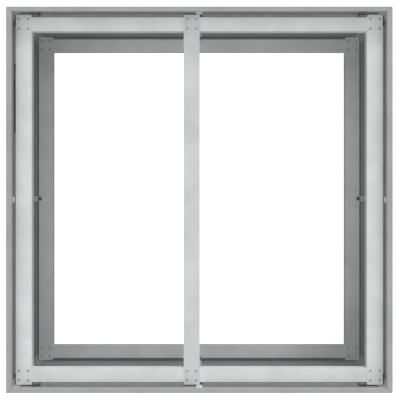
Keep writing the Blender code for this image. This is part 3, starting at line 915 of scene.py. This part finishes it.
@dataclass
class Glazing:
    """The panes, their seals and the retainer under them."""

    shop: Workshop
    arris: float = 0.0006
    seal_ease: float = 0.0004

    def build(self) -> None:
        """Give each pane ground edges, and the seals and the retainer their finish."""
        for side in HALVES:
            pane = self.shop.ease("pane_" + side, "glass", self.arris, "ground", flat=True)
            # Lamp light, and light bounced off the other pieces, passes straight through clear glass.
            pane.visible_diffuse = pane.visible_glossy = pane.visible_shadow = False
            self.shop.ease("pane_seal_" + side, "rubber", self.seal_ease, "strip")
        self.shop.ease("glazing_retainer", "bar_y", self.seal_ease, "plate")


@dataclass
class GapStrips:
    """The front buffers and the brush strips that fill the gap round the sash."""

    shop: Workshop
    drop: float = 0.0015
    depth: float = 0.0070
    clear: float = 0.0016
    side_clear: float = 0.0008
    wall_clear: float = 0.0002
    stay_clear: float = 0.0060
    end_keep: float = 0.0025
    pile: float = 0.0009
    lip: float = 0.00054
    buffer_ease: float = 0.0005

    def strip(self, name: str, low: Vector, high: Vector) -> None:
        """Lay one strip as a backing with a row of pile lips on its top.

        Args:
            name: The piece's name.
            low: The lowest corner of the space it fills.
            high: The highest corner.
        """
        size = high - low
        along = 0 if size.x > size.y else 1
        across = 1 - along
        halves = 2 * max(2, round(size[across] / self.pile))
        outline = [(low[across], low.z), (high[across], low.z)]
        for step in range(halves + 1):
            dip = 0.0 if step % 2 else self.lip
            outline.append((high[across] - size[across] * step / halves, high.z - dip))
        work = bmesh.new()
        points = []
        for sideways, up in outline:
            point = [low.x, low.y, up]
            point[across] = sideways
            points.append(work.verts.new(point))
        pushed = bmesh.ops.extrude_face_region(work, geom=[work.faces.new(points)])
        shift = Vector()
        shift[along] = size[along]
        moved = [part for part in pushed["geom"] if isinstance(part, bmesh.types.BMVert)]
        bmesh.ops.translate(work, verts=moved, vec=shift)
        bmesh.ops.recalc_face_normals(work, faces=work.faces)
        mesh = bpy.data.meshes.new(name)
        work.to_mesh(mesh)
        work.free()
        self.shop.hand_over(name, mesh, "brush", "root")

    def build(self) -> None:
        """Finish the buffers, then lay the front, back and side strips."""
        for side in HALVES:
            self.shop.ease("front_buffer_" + side, "buffer", self.buffer_ease, "block")
        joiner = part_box("front_joiner")
        keep = (joiner[1].x - joiner[0].x) / 2 + self.side_clear
        high_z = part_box("sash_bar_left")[1].z - self.drop
        low_z = high_z - self.depth
        self.end_strips(keep, low_z, high_z)
        self.side_strips(keep, low_z, high_z)

    def end_strips(self, keep: float, low_z: float, high_z: float) -> None:
        """Lay the front and back strips, clear of the centre bar's ends.

        Args:
            keep: How far a strip keeps from the middle of a wall, clear of its joiner.
            low_z: The strips' underside.
            high_z: The strips' top.
        """
        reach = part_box("front_buffer_right")[0].x - self.end_keep
        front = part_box("front_panel_left")[1].y + self.wall_clear
        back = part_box("back_panel_left")[0].y - self.wall_clear
        rail_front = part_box("sash_rail_front")[0].y - self.clear
        rail_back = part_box("sash_rail_back")[1].y + self.clear
        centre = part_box("sash_bar_centre")
        spans = {"left": (-reach, min(-keep, centre[0].x - self.side_clear)),
                 "right": (max(keep, centre[1].x + self.side_clear), reach)}
        for half, (start, end) in spans.items():
            self.strip("front_strip_" + half, Vector((start, front, low_z)),
                       Vector((end, rail_front, high_z)))
            self.strip("back_strip_" + half, Vector((start, rail_back, low_z)),
                       Vector((end, back, high_z)))

    def side_strips(self, keep: float, low_z: float, high_z: float) -> None:
        """Lay the left and right strips, clear of the stay.

        Args:
            keep: How far a strip keeps from the middle of a wall, clear of its joiner.
            low_z: The strips' underside.
            high_z: The strips' top.
        """
        left = (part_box("left_panel_left")[1].x + self.wall_clear,
                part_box("sash_bar_left")[0].x - self.side_clear)
        right = (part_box("sash_bar_right")[1].x + self.side_clear,
                 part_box("right_panel_left")[0].x - self.wall_clear)
        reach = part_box("sash_ledge_left")[1].y
        stay_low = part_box("stay_arm")[0].y - self.stay_clear
        stay_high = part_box("stay_pivot")[1].y + self.stay_clear
        for name, gap, start, end in (("right_strip_front", right, -reach, -keep),
                                      ("right_strip_back", right, keep, reach),
                                      ("left_strip_front", left, -reach, -keep),
                                      ("left_strip_middle", left, keep, stay_low),
                                      ("left_strip_back", left, stay_high, reach)):
            self.strip(name, Vector((gap[0], start, low_z)), Vector((gap[1], end, high_z)))


@dataclass
class Ironmongery:
    """The two hinges and the stay."""

    shop: Workshop

    def build(self) -> None:
        """Give each hinge and stay part its finish."""
        for node in sorted(frame["nodes"]):
            if node.startswith(("hinge_", "stay_")):
                self.shop.dress(node, "hinge")


# Surroundings

@dataclass
class Studio:
    """The white floor, the lights and the camera."""

    height_above_rim: float = 1.80
    eye: tuple[float, float] = (-0.0045, 0.0212)
    lens: float = 62.7
    shift: tuple[float, float] = (0.0060, -0.021)
    floor_half: float = 6.0
    floor_drop: float = 0.0005
    floor_grey: float = 0.85
    floor_roughness: float = 0.9
    floor_glow: float = 0.92
    under_grey: float = 0.3
    lamp_away: float = 4.0
    sky: float = 0.66
    lights: tuple[tuple[str, Colour, float, float], ...] = (
        ("key_from_behind", (0.10, 1.00, 0.26), 30.0, 1.8),
        ("fill_from_front", (-0.15, -1.00, 0.50), 40.0, 0.38),
    )

    def floor(self) -> None:
        """Lay a white floor that glows a little, so that it stays white inside the frame."""
        mesh = bpy.data.meshes.new("floor")
        work = bmesh.new()
        bmesh.ops.create_grid(work, x_segments=1, y_segments=1, size=self.floor_half)
        work.to_mesh(mesh)
        work.free()
        floor = new_object("floor", mesh)
        floor.location.z = -self.floor_drop
        white = NodeBoard("white_floor")
        white.shader.inputs["Base Color"].default_value = (*(self.floor_grey,) * 3, 1.0)
        white.shader.inputs["Roughness"].default_value = self.floor_roughness
        white.shader.inputs["Emission Color"].default_value = (1.0, 1.0, 1.0, 1.0)
        white.shader.inputs["Emission Strength"].default_value = self.floor_glow
        mesh.materials.append(white.material)
        # The glowing floor is only looked at. Light bounces off the dull one under it instead.
        floor.visible_diffuse = False
        floor.visible_glossy = False
        floor.visible_shadow = False
        under = new_object("floor_under", mesh.copy())
        under.location.z = -2 * self.floor_drop
        dull = NodeBoard("dull_floor")
        dull.shader.inputs["Base Color"].default_value = (*(self.under_grey,) * 3, 1.0)
        under.data.materials.clear()
        under.data.materials.append(dull.material)
        under.visible_camera = False
        under.visible_transmission = False

    def world(self) -> None:
        """Set an even pale sky."""
        world = bpy.data.worlds.new("studio")
        world.use_nodes = True
        background = world.node_tree.nodes["Background"]
        background.inputs["Color"].default_value = (1.0, 1.0, 1.0, 1.0)
        background.inputs["Strength"].default_value = self.sky
        bpy.context.scene.world = world

    def lamps(self) -> None:
        """Hang the soft lights, each turned to the frame."""
        target = (CAD_BOX[0] + CAD_BOX[1]) / 2
        for name, toward, spread, strength in self.lights:
            data = bpy.data.lights.new(name, "SUN")
            data.angle = math.radians(spread)
            data.energy = strength
            lamp = bpy.data.objects.new(name, data)
            lamp.location = target + Vector(toward) * self.lamp_away
            lamp.rotation_euler = (-Vector(toward)).to_track_quat("-Z", "Y").to_euler()
            bpy.context.scene.collection.objects.link(lamp)

    def camera(self) -> None:
        """Look straight down from above the middle."""
        data = bpy.data.cameras.new("camera")
        data.lens = self.lens
        data.shift_x, data.shift_y = self.shift
        camera = bpy.data.objects.new("camera", data)
        camera.location = (*self.eye, CAD_BOX[1].z + self.height_above_rim)
        bpy.context.scene.collection.objects.link(camera)
        bpy.context.scene.camera = camera

    def build(self) -> None:
        """Set up the floor, the sky, the lights and the camera."""
        bpy.context.scene.view_settings.view_transform = "Standard"
        self.floor()
        self.world()
        self.lamps()
        self.camera()


def main() -> None:
    """Build every sub-assembly in order, then the surroundings."""
    logging.basicConfig(level=logging.INFO, format="%(message)s")
    shop = Workshop()
    for assembly in (Walls(shop), ChannelFrames(shop), Glazing(shop), GapStrips(shop), Ironmongery(shop),
                     Fastenings(shop)):
        assembly.build()
        LOG.info("%s done", type(assembly).__name__)
    Studio().build()
    LOG.info("%d pieces made", shop.made)


if __name__ == "__main__":
    main()
